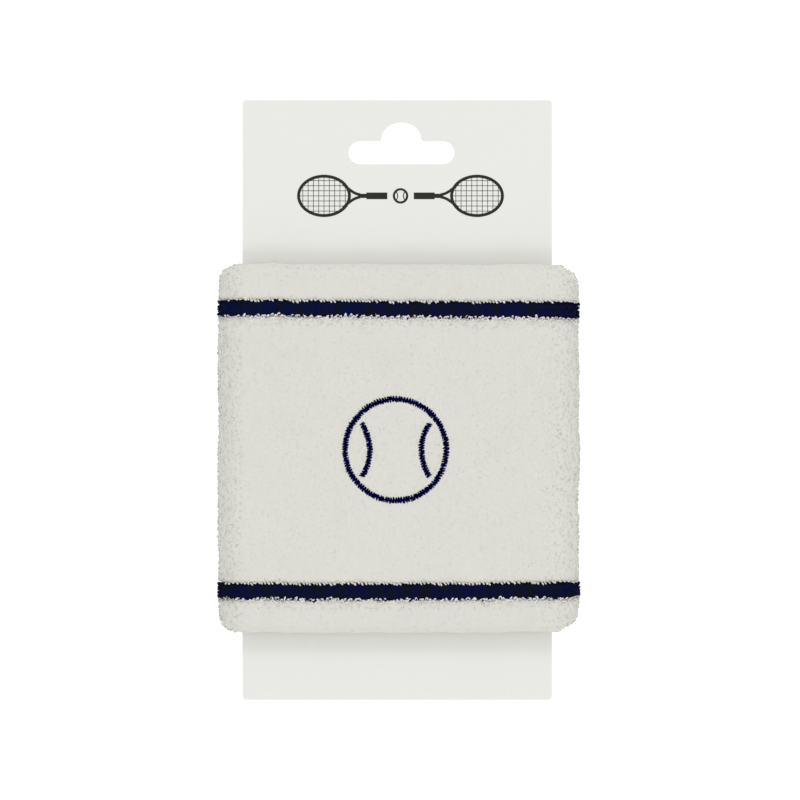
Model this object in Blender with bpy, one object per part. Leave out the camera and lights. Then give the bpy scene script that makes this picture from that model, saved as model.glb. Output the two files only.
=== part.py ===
"""A terry sweat wristband pulled flat over the header card that it is sold on.

The frame is the card as it hangs: +X to the right seen from the front, the front faces -Y, +Z is up.
The origin is the crown of the hang slot, where a display peg carries the card, half way through the board.

The band is one knitted tube, twice as tall as the band, folded in half so that its two raw ends meet
on the inside at mid height. Every layer of it is a ring that follows the card's flat cross-section:
two straight runs and two half rounds. A point of a ring is given by its depth, the distance out from
the band's inner face, and by its height.
"""

import math

import bmesh
import bpy
from mathutils import Matrix, Vector

MM = 0.001
GAP = 0.3 * MM  # clearance between neighbouring pieces

# Header card
CARD_WIDTH = 70.0 * MM
CARD_THICKNESS = 0.5 * MM
CARD_CENTRE_X = -0.95 * MM
CARD_TOP = 5.07 * MM
CARD_BOTTOM = -130.6 * MM
CARD_CORNER_RADIUS = 0.8 * MM

# Hang slot, from its crown at the origin
SLOT_WIDTH = 24.0 * MM
SLOT_BAR_HEIGHT = 5.2 * MM
DOME_WIDTH = 9.0 * MM
DOME_HEIGHT = 4.23 * MM
DOME_FILLET = 0.5 * MM

# Band, outside sizes as it lies on the card
BAND_WIDTH = 81.8 * MM
BAND_CENTRE_X = -0.65 * MM
BAND_TOP = -31.9 * MM
BAND_BOTTOM = -115.4 * MM
STRIPE_HEIGHT = 3.1 * MM
UPPER_STRIPE_Z = -42.0 * MM
LOWER_STRIPE_Z = -105.95 * MM
SEAM_HEIGHT = 2.4 * MM
SEAM_RIDGE = 0.5 * MM

# Layers through one wall of the band
PILE = 0.95 * MM
GROUND = 0.5 * MM
ELASTIC_DIAMETER = 0.4 * MM
BACKING = 0.2 * MM
WALL = 2 * PILE + 2 * GROUND + ELASTIC_DIAMETER + BACKING + 6 * GAP
CARD_CLEARANCE = 0.35 * MM
INNER_RADIUS = CARD_THICKNESS / 2 + CARD_CLEARANCE

# Elastic yarn
ELASTIC_TURNS = 18
ELASTIC_END_MARGIN = 6.0 * MM

# Embroidered ball
BALL_CENTRE_X = -1.3 * MM
BALL_CENTRE_Z = -74.0 * MM
BALL_RADIUS = 11.4 * MM
BALL_SEAM_RADIUS = 10.6 * MM
BALL_SEAM_OFFSET = 16.4 * MM
STITCH_WIDTH = 1.25 * MM
STITCH_HEIGHT = 0.4 * MM
STITCH_SHOULDER = 0.35  # share of a column's height where its crown begins
BACKING_RADIUS = 15.0 * MM

# How finely round stretches are divided
CARD_CORNER_STEPS = 4
SLOT_END_STEPS = 10
SLOT_FILLET_STEPS = 3
DOME_STEPS = 16
HALF_ROUND_STEPS = 12
ELASTIC_ROUND_STEPS = 6
FOLD_STEPS = 8
BALL_STEPS = 48
BALL_SEAM_STEPS = 16
CROWN_STEPS = 6

INNER_LEG = PILE + GAP  # depth at which the ground knit's inner leg starts
FOLD_DEPTH = WALL / 2  # depth of the folds' common centre
STRAIGHT_HALF = BAND_WIDTH / 2 - INNER_RADIUS - WALL
UPPER_FOLD_Z = BAND_TOP - FOLD_DEPTH
LOWER_FOLD_Z = BAND_BOTTOM + FOLD_DEPTH
BAND_MIDDLE = (BAND_TOP + BAND_BOTTOM) / 2
FRONT_PILE_Y = -(INNER_RADIUS + WALL)

WHITE_TERRY = ("white_terry", (0.70, 0.69, 0.64), 0.95)
NAVY_TERRY = ("navy_terry", (0.006, 0.008, 0.045), 0.9)
CARD_BOARD = ("card_board", (0.80, 0.80, 0.77), 0.8)
GROUND_KNIT = ("ground_knit", (0.66, 0.65, 0.60), 0.9)
ELASTIC = ("elastic_yarn", (0.72, 0.71, 0.68), 0.6)
BACKING_FELT = ("backing_felt", (0.78, 0.78, 0.76), 0.9)
SEAM_THREAD = ("seam_thread", (0.74, 0.73, 0.69), 0.8)
EMBROIDERY_THREAD = ("embroidery_thread", (0.004, 0.005, 0.04), 0.4)


def clear_scene():
    for existing in list(bpy.data.objects):
        bpy.data.objects.remove(existing, do_unlink=True)


def material(finish):
    name, colour, roughness = finish
    made = bpy.data.materials.get(name)
    if made is None:
        made = bpy.data.materials.new(name)
        made.use_nodes = True
        shader = made.node_tree.nodes["Principled BSDF"]
        shader.inputs["Base Color"].default_value = (*colour, 1.0)
        shader.inputs["Roughness"].default_value = roughness
        shader.inputs["Metallic"].default_value = 0.0
    return made


def add_mesh(name, builder, finish=None, smooth_angle=math.radians(35)):
    """An object from a bmesh, with its faces turned out and round faces shaded smooth."""
    bmesh.ops.recalc_face_normals(builder, faces=builder.faces)
    mesh = bpy.data.meshes.new(name)
    builder.to_mesh(mesh)
    builder.free()
    mesh.shade_smooth()
    mesh.set_sharp_from_angle(angle=smooth_angle)
    made = bpy.data.objects.new(name, mesh)
    bpy.context.scene.collection.objects.link(made)
    if finish:
        mesh.materials.append(material(finish))
    return made


def hide_cutter(cutter):
    cutter.hide_render = True
    cutter.display_type = "WIRE"


def cut(piece, cutter):
    hide_cutter(cutter)
    modifier = piece.modifiers.new(cutter.name, "BOOLEAN")
    modifier.operation = "DIFFERENCE"
    modifier.solver = "EXACT"
    modifier.object = cutter


def arc(centre, radius, start, end, steps):
    """Points on a round arc, both ends included, angles in radians."""
    turns = [start + (end - start) * step / steps for step in range(steps + 1)]
    return [(centre[0] + radius * math.cos(turn), centre[1] + radius * math.sin(turn)) for turn in turns]


def extruded(outline, front_y, back_y):
    """A bmesh of an outline of (x, z) points extruded along Y."""
    builder = bmesh.new()
    face = builder.faces.new([builder.verts.new((x, front_y, z)) for x, z in outline])
    swept = bmesh.ops.extrude_face_region(builder, geom=[face])
    moved = [item for item in swept["geom"] if isinstance(item, bmesh.types.BMVert)]
    bmesh.ops.translate(builder, verts=moved, vec=(0, back_y - front_y, 0))
    return builder


def swept(stations, closed=True):
    """A bmesh of closed sections joined one to the next, and the last to the first or capped at both ends."""
    builder = bmesh.new()
    rows = [[builder.verts.new(point) for point in station] for station in stations]
    following_rows = rows[1:] + rows[:1] if closed else rows[1:]
    for row, following in zip(rows, following_rows):
        for corner in range(len(row)):
            after = (corner + 1) % len(row)
            builder.faces.new((row[corner], row[after], following[after], following[corner]))
    if not closed:
        builder.faces.new(rows[0])
        builder.faces.new(rows[-1])
    return builder


def flat_loop(steps=HALF_ROUND_STEPS):
    """Feet and outward directions of the flattened ring, right half round first."""
    stations = []
    for side, start in ((1, -math.pi / 2), (-1, math.pi / 2)):
        for step in range(steps + 1):
            turn = start + math.pi * step / steps
            stations.append(((side * STRAIGHT_HALF, 0.0), (math.cos(turn), math.sin(turn))))
    return stations


def band_point(foot, direction, depth, z):
    reach = INNER_RADIUS + depth
    return Vector((BAND_CENTRE_X + foot[0] + reach * direction[0], foot[1] + reach * direction[1], z))


def band_ring(name, section, finish):
    """A ring round the card from a closed section of (depth, z) points."""
    stations = [
        [band_point(foot, direction, depth, z) for depth, z in section] for foot, direction in flat_loop()
    ]
    return add_mesh(name, swept(stations), finish)


def straight_section(depth_in, depth_out, z_low, z_high):
    return [(depth_in, z_low), (depth_out, z_low), (depth_out, z_high), (depth_in, z_high)]


def fold_arc(radius, above, outwards):
    """Half a round of a fold in (depth, z), running from the outer leg in, or from the inner leg out."""
    centre = (FOLD_DEPTH, UPPER_FOLD_Z if above else LOWER_FOLD_Z)
    side = math.pi if above else -math.pi
    start, end = (side, 0.0) if outwards else (0.0, side)
    return arc(centre, radius, start, end, FOLD_STEPS)


def folded_pile_section(above, outer_end, inner_end):
    """Pile that starts on the outer face, goes round a fold and ends at the seam on the inner face."""
    outside = fold_arc(FOLD_DEPTH, above, outwards=False)
    inside = fold_arc(FOLD_DEPTH - PILE, above, outwards=True)
    return (
        [(WALL, outer_end)]
        + outside
        + [(0.0, inner_end), (PILE, inner_end)]
        + inside
        + [(WALL - PILE, outer_end)]
    )


def ground_section(inner_end_above, inner_end_below):
    """The ground knit's folded section, a C whose open side is at the linking seam."""
    outer_radius = FOLD_DEPTH - INNER_LEG
    inner_radius = outer_radius - GROUND
    return (
        [(INNER_LEG, inner_end_above)]
        + fold_arc(outer_radius, True, outwards=True)
        + fold_arc(outer_radius, False, outwards=False)
        + [(INNER_LEG, inner_end_below), (INNER_LEG + GROUND, inner_end_below)]
        + fold_arc(inner_radius, False, outwards=True)
        + fold_arc(inner_radius, True, outwards=False)
        + [(INNER_LEG + GROUND, inner_end_above)]
    )


def card_outline():
    left = CARD_CENTRE_X - CARD_WIDTH / 2 + CARD_CORNER_RADIUS
    right = CARD_CENTRE_X + CARD_WIDTH / 2 - CARD_CORNER_RADIUS
    low = CARD_BOTTOM + CARD_CORNER_RADIUS
    high = CARD_TOP - CARD_CORNER_RADIUS
    quarter = math.pi / 2
    corners = [((right, high), 0), ((left, high), 1), ((left, low), 2), ((right, low), 3)]
    points = []
    for centre, index in corners:
        points += arc(
            centre, CARD_CORNER_RADIUS, index * quarter, (index + 1) * quarter, CARD_CORNER_STEPS
        )
    return points


def slot_outline():
    """The hang slot: a bar with round ends and a dome in the middle of its upper edge."""
    end_radius = SLOT_BAR_HEIGHT / 2
    end_x = SLOT_WIDTH / 2 - end_radius
    bar_top = -DOME_HEIGHT
    bar_z = bar_top - end_radius
    quarter = math.pi / 2
    dome_half = DOME_WIDTH / 2
    springing = bar_top + DOME_FILLET
    fillet_x = dome_half + DOME_FILLET
    points = arc((-end_x, bar_z), end_radius, quarter, 3 * quarter, SLOT_END_STEPS)
    points += arc((end_x, bar_z), end_radius, -quarter, quarter, SLOT_END_STEPS)
    points += arc((fillet_x, springing), DOME_FILLET, 3 * quarter, 2 * quarter, SLOT_FILLET_STEPS)
    for step in range(1, DOME_STEPS):
        turn = math.pi * step / DOME_STEPS
        points.append((dome_half * math.cos(turn), springing - springing * math.sin(turn)))
    points += arc((-fillet_x, springing), DOME_FILLET, 0, -quarter, SLOT_FILLET_STEPS)
    return points


def make_header_card():
    half = CARD_THICKNESS / 2
    card = add_mesh("header_card", extruded(card_outline(), -half, half), CARD_BOARD)
    slot = add_mesh("slot_cutter", extruded(slot_outline(), -CARD_THICKNESS, CARD_THICKNESS))
    cut(card, slot)


def make_pile():
    upper_edges = (UPPER_STRIPE_Z + STRIPE_HEIGHT / 2, UPPER_STRIPE_Z - STRIPE_HEIGHT / 2)
    lower_edges = (LOWER_STRIPE_Z + STRIPE_HEIGHT / 2, LOWER_STRIPE_Z - STRIPE_HEIGHT / 2)
    seam_half = SEAM_HEIGHT / 2
    face = WALL - PILE
    band_ring(
        "pile_upper_end",
        folded_pile_section(True, upper_edges[0] + GAP / 2, BAND_MIDDLE + seam_half + GAP),
        WHITE_TERRY,
    )
    band_ring(
        "pile_stripe_upper",
        straight_section(face, WALL, upper_edges[1] + GAP / 2, upper_edges[0] - GAP / 2),
        NAVY_TERRY,
    )
    centre = band_ring(
        "pile_centre",
        straight_section(face, WALL, lower_edges[0] + GAP / 2, upper_edges[1] - GAP / 2),
        WHITE_TERRY,
    )
    band_ring(
        "pile_stripe_lower",
        straight_section(face, WALL, lower_edges[1] + GAP / 2, lower_edges[0] - GAP / 2),
        NAVY_TERRY,
    )
    band_ring(
        "pile_lower_end",
        folded_pile_section(False, lower_edges[1] - GAP / 2, BAND_MIDDLE - seam_half - GAP),
        WHITE_TERRY,
    )
    return centre


def make_ground_knit():
    reach = SEAM_HEIGHT / 2 + GAP
    band_ring("ground_knit", ground_section(BAND_MIDDLE + reach, BAND_MIDDLE - reach), GROUND_KNIT)


def make_linking_seam():
    """The overlocked seam that joins the tube's raw ends, with a low ridge along its middle."""
    half = SEAM_HEIGHT / 2
    ridge = half - SEAM_RIDGE
    depth_out = INNER_LEG + GROUND
    section = [
        (SEAM_RIDGE, BAND_MIDDLE - half),
        (depth_out, BAND_MIDDLE - half),
        (depth_out, BAND_MIDDLE + half),
        (SEAM_RIDGE, BAND_MIDDLE + half),
        (0.0, BAND_MIDDLE + ridge),
        (0.0, BAND_MIDDLE - ridge),
    ]
    band_ring("linking_seam", section, SEAM_THREAD)


def make_elastic_yarn():
    """One yarn wound round the card in the space between the two ground layers."""
    depth = INNER_LEG + GROUND + GAP + ELASTIC_DIAMETER / 2
    high = BAND_TOP - ELASTIC_END_MARGIN
    low = BAND_BOTTOM + ELASTIC_END_MARGIN
    loop = flat_loop(ELASTIC_ROUND_STEPS)
    total = len(loop) * ELASTIC_TURNS
    curve = bpy.data.curves.new("elastic_yarn", "CURVE")
    curve.dimensions = "3D"
    curve.bevel_depth = ELASTIC_DIAMETER / 2
    curve.bevel_resolution = 1
    curve.use_fill_caps = True
    spline = curve.splines.new("POLY")
    spline.points.add(total)
    for number in range(total + 1):
        foot, direction = loop[number % len(loop)]
        z = high + (low - high) * number / total
        spline.points[number].co = (*band_point(foot, direction, depth, z), 1.0)
    curve.materials.append(material(ELASTIC))
    yarn = bpy.data.objects.new("elastic_yarn", curve)
    bpy.context.scene.collection.objects.link(yarn)


def make_backing():
    """A round patch of non-woven felt behind the embroidery, between the elastic and the outer layer."""
    back_y = -(INNER_RADIUS + WALL - PILE - 2 * GAP - GROUND)
    builder = bmesh.new()
    bmesh.ops.create_cone(
        builder,
        cap_ends=True,
        segments=BALL_STEPS,
        radius1=BACKING_RADIUS,
        radius2=BACKING_RADIUS,
        depth=BACKING,
        matrix=Matrix.Translation((BALL_CENTRE_X, back_y + BACKING / 2, BALL_CENTRE_Z))
        @ Matrix.Rotation(math.pi / 2, 4, "X"),
    )
    add_mesh("embroidery_backing", builder, BACKING_FELT)


def stitch_section(half_width, low_y, high_y):
    """A flat base with a crowned top, in (offset, y); the front faces -Y."""
    crown = arc((0.0, 0.0), 1.0, 0.0, math.pi, CROWN_STEPS)
    shoulder = low_y + (high_y - low_y) * STITCH_SHOULDER
    points = [(half_width, low_y)]
    points += [(half_width * x, shoulder + (high_y - shoulder) * rise) for x, rise in crown]
    return points + [(-half_width, low_y)]


def groove_section(half_width, low_y, high_y):
    return [(half_width, low_y), (half_width, high_y), (-half_width, high_y), (-half_width, low_y)]


def stitch_column(name, section, centre_x, radius, angles, closed, finish=None):
    """A stitched column that follows an arc on the band's front face."""
    stations = []
    for angle in angles:
        outward = Vector((math.cos(angle), 0.0, math.sin(angle)))
        foot = Vector((BALL_CENTRE_X + centre_x, 0.0, BALL_CENTRE_Z)) + radius * outward
        stations.append([foot + offset * outward + Vector((0.0, y, 0.0)) for offset, y in section])
    return add_mesh(name, swept(stations, closed), finish)


def seam_half_angle(reach):
    """Half the angle of a ball-seam arc that ends at the given distance from the ball's centre."""
    cosine = (BALL_SEAM_OFFSET**2 + BALL_SEAM_RADIUS**2 - reach**2) / (
        2 * BALL_SEAM_OFFSET * BALL_SEAM_RADIUS
    )
    return math.acos(cosine)


def seam_angles(facing, reach):
    """Angles along a ball-seam arc whose middle faces the ball's centre."""
    half_angle = seam_half_angle(reach)
    steps = BALL_SEAM_STEPS
    return [facing - half_angle + 2 * half_angle * step / steps for step in range(steps + 1)]


def make_embroidery(pile):
    """A ball drawn in three satin-stitch columns, each lying in a groove that it presses into the pile."""
    half = STITCH_WIDTH / 2
    base_y = FRONT_PILE_Y + STITCH_HEIGHT
    stitched = stitch_section(half, base_y, FRONT_PILE_Y)
    pressed = groove_section(half + GAP, base_y + GAP, FRONT_PILE_Y - GAP)
    ring_angles = [2 * math.pi * step / BALL_STEPS for step in range(BALL_STEPS)]
    stitch_column("embroidery_ring", stitched, 0.0, BALL_RADIUS, ring_angles, True, EMBROIDERY_THREAD)
    cut(pile, stitch_column("ring_cutter", pressed, 0.0, BALL_RADIUS, ring_angles, True))
    groove_reach = BALL_RADIUS - STITCH_WIDTH - GAP
    for side, facing, name in ((-1, 0.0, "left"), (1, math.pi, "right")):
        centre_x = side * BALL_SEAM_OFFSET
        angles = seam_angles(facing, groove_reach - GAP)
        arc_name = f"embroidery_arc_{name}"
        stitch_column(arc_name, stitched, centre_x, BALL_SEAM_RADIUS, angles, False, EMBROIDERY_THREAD)
        angles = seam_angles(facing, groove_reach)
        cutter_name = f"arc_cutter_{name}"
        cut(pile, stitch_column(cutter_name, pressed, centre_x, BALL_SEAM_RADIUS, angles, False))


def main():
    clear_scene()
    make_header_card()
    centre = make_pile()
    make_ground_knit()
    make_linking_seam()
    make_elastic_yarn()
    make_backing()
    make_embroidery(centre)


main()
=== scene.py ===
import math

import bpy
import numpy as np
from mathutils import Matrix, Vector


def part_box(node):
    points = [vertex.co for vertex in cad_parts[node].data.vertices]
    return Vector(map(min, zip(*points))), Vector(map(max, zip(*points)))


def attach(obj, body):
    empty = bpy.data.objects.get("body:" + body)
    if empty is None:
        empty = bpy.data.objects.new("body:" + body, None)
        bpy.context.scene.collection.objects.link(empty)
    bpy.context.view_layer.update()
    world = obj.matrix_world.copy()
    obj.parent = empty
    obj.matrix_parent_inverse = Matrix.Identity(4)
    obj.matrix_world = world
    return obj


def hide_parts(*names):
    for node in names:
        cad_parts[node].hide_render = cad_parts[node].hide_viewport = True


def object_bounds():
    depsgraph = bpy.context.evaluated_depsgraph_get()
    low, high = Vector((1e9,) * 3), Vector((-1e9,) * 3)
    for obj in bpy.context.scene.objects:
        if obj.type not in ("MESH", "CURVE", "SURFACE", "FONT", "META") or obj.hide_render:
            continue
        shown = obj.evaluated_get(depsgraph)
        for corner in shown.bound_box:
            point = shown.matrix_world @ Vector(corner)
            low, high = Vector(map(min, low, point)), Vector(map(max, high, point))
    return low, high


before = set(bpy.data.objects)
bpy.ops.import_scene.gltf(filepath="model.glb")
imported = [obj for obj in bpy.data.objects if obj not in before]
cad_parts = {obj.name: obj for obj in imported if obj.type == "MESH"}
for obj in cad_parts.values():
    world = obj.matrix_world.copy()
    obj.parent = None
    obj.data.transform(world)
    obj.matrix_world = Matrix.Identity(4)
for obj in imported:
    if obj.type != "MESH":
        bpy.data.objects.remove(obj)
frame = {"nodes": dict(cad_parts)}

cad_low, cad_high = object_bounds()

MM = 0.001
TURN = 2 * math.pi

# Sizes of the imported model, in metres. The band's rings run round the card at a radius from its mid-plane.
card_low, card_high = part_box("header_card")
ground_low, ground_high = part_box("ground_knit")
centre_low, centre_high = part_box("pile_centre")
stripe_low, stripe_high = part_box("pile_stripe_upper")
lower_stripe_low, lower_stripe_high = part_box("pile_stripe_lower")
seam_low, seam_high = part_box("linking_seam")
ball_low, ball_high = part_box("embroidery_ring")
felt_low, felt_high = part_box("embroidery_backing")

CARD_X, CARD_Z = (card_low[0] + card_high[0]) / 2, (card_low[2] + card_high[2]) / 2
CARD_FRONT = card_low[1]
BAND_X = (centre_low[0] + centre_high[0]) / 2
TIP = centre_high[1]  # radius of the pile's tips
ROOT = ground_high[1]  # radius of the ground knit's outer face
STRAIGHT = (centre_high[0] - centre_low[0]) / 2 - TIP  # half a straight run of the ring
GROUND = 0.5 * MM
FOLD = 1.4 * MM  # radius of the ground's outer face round a fold
FOLD_RADIUS = ROOT - FOLD
INNER = ROOT - 2 * FOLD  # radius of the ground's face towards the card
UPPER_FOLD = ground_high[2] - FOLD
LOWER_FOLD = ground_low[2] + FOLD
QUARTER = FOLD * math.pi / 2
FACE = UPPER_FOLD - LOWER_FOLD
SEAM_Z = (seam_low[2] + seam_high[2]) / 2
RING = 4 * STRAIGHT + TURN * ROOT
RIGHT_SIDE = 2 * STRAIGHT + math.pi * ROOT / 2
LEFT_SIDE = RING - math.pi * ROOT / 2
FRONT_MIDDLE = STRAIGHT

# Knit of the terry
COURSES_BETWEEN_STRIPES = 80
STRIPE_COURSES = 4
WALE = 0.78 * MM
PILE = TIP - ROOT
MAT_FOOT = 0.3 * MM
INNER_HEIGHT = 1.0 * MM  # most that the pile stands up where it faces the card
RELIEF = 0.085 * MM  # how far the loops stand out of the tangled part of the pile, on the flat faces
SIDE_RELIEF = 0.20 * MM  # how much more they do round the two sides
INNER_PILE_REACH = 8.0 * MM  # how far in from a fold the loops are made one by one
YARN = 0.175 * MM

upper_stripe = (stripe_low[2] + stripe_high[2]) / 2
lower_stripe = (lower_stripe_low[2] + lower_stripe_high[2]) / 2
COURSE = (upper_stripe - lower_stripe) / COURSES_BETWEEN_STRIPES
HALF_STRIPE = STRIPE_COURSES * COURSE / 2


def down_at(z):
    """Distance down the outer face, from the upper fold's crest, at which the face has this height."""
    return QUARTER + UPPER_FOLD - z


UPPER_STRIPE = down_at(upper_stripe)
LOWER_STRIPE = down_at(lower_stripe)
LOWER_CREST = 2 * QUARTER + FACE
INNER_LEG = UPPER_FOLD - SEAM_Z - 1.5 * MM


# ---------------------------------------------------------------- surface of the band
def wander(around, down, seed, wavelength, waves=8):
    """A smooth wandering value of about one, which closes round the ring."""
    rng = np.random.default_rng(seed)
    total = 0.0
    for _ in range(waves):
        angle, stretch, phase = rng.uniform(0, TURN), rng.uniform(0.7, 1.5), rng.uniform(0, TURN)
        number = TURN / (wavelength * stretch)
        turns = round(number * math.cos(angle) * RING / TURN) * TURN / RING
        total = total + np.sin(turns * around + number * math.sin(angle) * down + phase)
    return total / math.sqrt(waves / 2)


def ring(around):
    """Foot on the card's mid-line and outward direction of points along the ring."""
    u = np.mod(around, RING)
    half = math.pi * ROOT
    marks = [2 * STRAIGHT, 2 * STRAIGHT + half, 4 * STRAIGHT + half]
    parts = [u < marks[0], u < marks[1], u < marks[2]]
    angle = np.select(
        parts,
        [-math.pi / 2 + 0 * u, -math.pi / 2 + (u - marks[0]) / ROOT, math.pi / 2 + 0 * u],
        math.pi / 2 + (u - marks[2]) / ROOT,
    )
    foot = np.select(parts, [u - STRAIGHT, STRAIGHT + 0 * u, STRAIGHT - (u - marks[1])], -STRAIGHT)
    return foot, np.stack([np.cos(angle), np.sin(angle)], -1)


def profile(down):
    """Radius, height and outward normal of the ground's outside along its folded section."""
    parts = [down < -QUARTER, down < QUARTER, down < QUARTER + FACE, down < LOWER_CREST + QUARTER]
    round_top, round_bottom = math.pi / 2 - down / FOLD, -(down - QUARTER - FACE) / FOLD
    angle = np.select(parts, [math.pi + 0 * down, round_top, 0 * down, round_bottom], -math.pi)
    height = np.select(
        parts,
        [
            UPPER_FOLD + QUARTER + down,
            UPPER_FOLD + FOLD * np.sin(angle),
            UPPER_FOLD + QUARTER - down,
            LOWER_FOLD + FOLD * np.sin(angle),
        ],
        LOWER_FOLD + (down - LOWER_CREST - QUARTER),
    )
    return FOLD_RADIUS + FOLD * np.cos(angle), height, np.cos(angle), np.sin(angle)


# Each corner of the band: how far its crest is drawn in, over what width, and how far its side is pulled in
CORNERS = {
    ("top", "left"): (0.85 * MM, 1.9 * MM, 0.8 * MM),
    ("top", "right"): (1.25 * MM, 2.6 * MM, 1.0 * MM),
    ("bottom", "left"): (0.6 * MM, 1.6 * MM, 0.8 * MM),
    ("bottom", "right"): (1.25 * MM, 3.0 * MM, 1.0 * MM),
}
CORNER_HEIGHT = 12.0 * MM  # how far down from a crest its corners are drawn in
PULL_HEIGHT = 6.5 * MM  # how far down from a crest its sides are pulled in
STRIPE_REACH = 16.0 * MM  # how far from a stripe the courses share its wandering


def near(value, centre, reach):
    """One at the centre, falling smoothly to nothing at reach."""
    return np.cos(np.clip(np.abs(value - centre) / reach, 0, 1) * math.pi / 2) ** 2


def drift(around, down):
    """How much higher than plan the knit lies: drawn-in corners, slanting stripes, uneven edges."""
    turn = TURN * (around - FRONT_MIDDLE) / RING
    foot, direction = ring(around)
    x = foot + ROOT * direction[..., 0]
    lift = 0.0
    for (end, side), (drawn, width, _) in CORNERS.items():
        crest = 0.0 if end == "top" else LOWER_CREST
        inward = STRAIGHT + ROOT + (x if side == "left" else -x)
        away = np.clip(np.abs(down - crest) / CORNER_HEIGHT, 0, 1)
        shift = drawn * near(inward, 0.0, width) * (1 - away) ** 2
        lift = lift + (-shift if end == "top" else shift)
    upper = (-0.22 - 0.27 * np.sin(turn)) * MM
    lower = (0.10 + 0.22 * (1 - np.cos(turn)) + 0.08 * np.sin(turn)) * MM
    lift = lift + near(down, UPPER_STRIPE, STRIPE_REACH) * upper
    lift = lift + near(down, LOWER_STRIPE, STRIPE_REACH) * lower
    lift = lift + 0.07 * MM * wander(around, 0 * down, 11, 22 * MM)
    return lift + 0.05 * MM * wander(around, down, 12, 7 * MM)


def puff(around, down):
    """How far the cloth swells or sinks between the elastic's turns."""
    return 0.10 * MM * wander(around, down, 21, 16 * MM) + 0.05 * MM * wander(around, down, 22, 5 * MM)


def band_frame(around, down):
    """Points on the ground's outside, with normals and tangents, along the ring and down the section."""
    foot, direction = ring(around)
    radius, height, out, up = profile(down)
    pull = 0.0
    for (end, side), (_, _, pulled) in CORNERS.items():
        crest = 0.0 if end == "top" else LOWER_CREST
        away = np.clip(np.abs(down - crest) / PULL_HEIGHT, 0, 1)
        share = np.clip(foot / STRAIGHT if side == "right" else -foot / STRAIGHT, 0, 1) ** 3
        sign = -1 if side == "right" else 1
        pull = pull + sign * pulled * share * (1 - away) ** 2
    pull = pull * np.clip((radius - INNER) / (ROOT - INNER), 0, 1)
    radius = radius + puff(around, down) * np.clip(out, 0, 1)
    x = BAND_X + foot + pull + radius * direction[..., 0]
    y = radius * direction[..., 1]
    z = height + drift(around, down)
    point = np.stack([x, y, z], -1)
    normal = np.stack([direction[..., 0] * out, direction[..., 1] * out, up], -1)
    along = np.stack([-direction[..., 1], direction[..., 0], 0 * up], -1)
    below = np.stack([direction[..., 0] * up, direction[..., 1] * up, -out], -1)
    return point, normal, along, below


def sideways(around):
    """One at the band's two sides, falling to nothing on its flat faces."""
    u = np.mod(around, RING)
    reach = math.pi * ROOT / 2 + 4.5 * MM
    return np.maximum(near(u, LEFT_SIDE, reach), near(u, RIGHT_SIDE, reach))


def relief(around, down):
    """How far loops stand out of the tangled pile: most round the sides, a little more beside a stripe."""
    end = np.maximum(near(down, 0.0, QUARTER + 4.0 * MM), near(down, LOWER_CREST, QUARTER + 4.0 * MM))
    over, under = beyond_stripe(down)
    loose = 0.07 * MM * near(over, 0.6 * MM, 1.4 * MM) + 0.20 * MM * near(under, 1.2 * MM, 2.0 * MM)
    side = sideways(around)
    return RELIEF + SIDE_RELIEF * side + 0.01 * MM * end + loose * (1 - 0.8 * side)


def beyond_stripe(down):
    """Signed distances out of the nearest stripe over its upper and its lower edge; negative inside it."""
    centre = np.where(down < (UPPER_STRIPE + LOWER_STRIPE) / 2, UPPER_STRIPE, LOWER_STRIPE)
    return centre - HALF_STRIPE - down, down - centre - HALF_STRIPE


# ---------------------------------------------------------------- meshes
def new_mesh(name, points, faces, tones=None, smooth=True):
    """An object from vertex positions, quads and one tone per vertex."""
    mesh = bpy.data.meshes.new(name)
    mesh.vertices.add(len(points))
    mesh.vertices.foreach_set("co", points.astype(np.float32).ravel())
    mesh.loops.add(faces.size)
    mesh.loops.foreach_set("vertex_index", faces.astype(np.int32).ravel())
    mesh.polygons.add(len(faces))
    mesh.polygons.foreach_set("loop_start", (np.arange(len(faces)) * 4).astype(np.int32))
    mesh.polygons.foreach_set("use_smooth", np.full(len(faces), smooth))
    mesh.update(calc_edges=True)
    if tones is not None:
        made = mesh.attributes.new("tone", "FLOAT", "POINT")
        made.data.foreach_set("value", tones.astype(np.float32))
    piece = bpy.data.objects.new(name, mesh)
    bpy.context.scene.collection.objects.link(piece)
    return piece


def grid_faces(rows, columns, open_rows=False, open_columns=False):
    """Quads of a grid, which closes both ways unless it's left open."""
    row = np.arange(rows)[:, None] * columns
    after = np.roll(np.arange(rows), -1)[:, None] * columns
    column = np.arange(columns)[None, :]
    beside = np.roll(np.arange(columns), -1)[None, :]
    faces = np.stack([row + column, after + column, after + beside, row + beside], -1)
    return faces[: rows - open_rows, : columns - open_columns].reshape(-1, 4)


def fans(loop):
    """Quads that close an even loop of vertex numbers."""
    return np.array([[loop[0], *loop[at : at + 3]] for at in range(1, len(loop) - 1, 2)])


def fewer(rows, step):
    """Row numbers from the last to the first, with only one in step between them, for a hidden face."""
    return np.unique(np.append(np.arange(0, rows, step), rows))[::-1]


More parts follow.
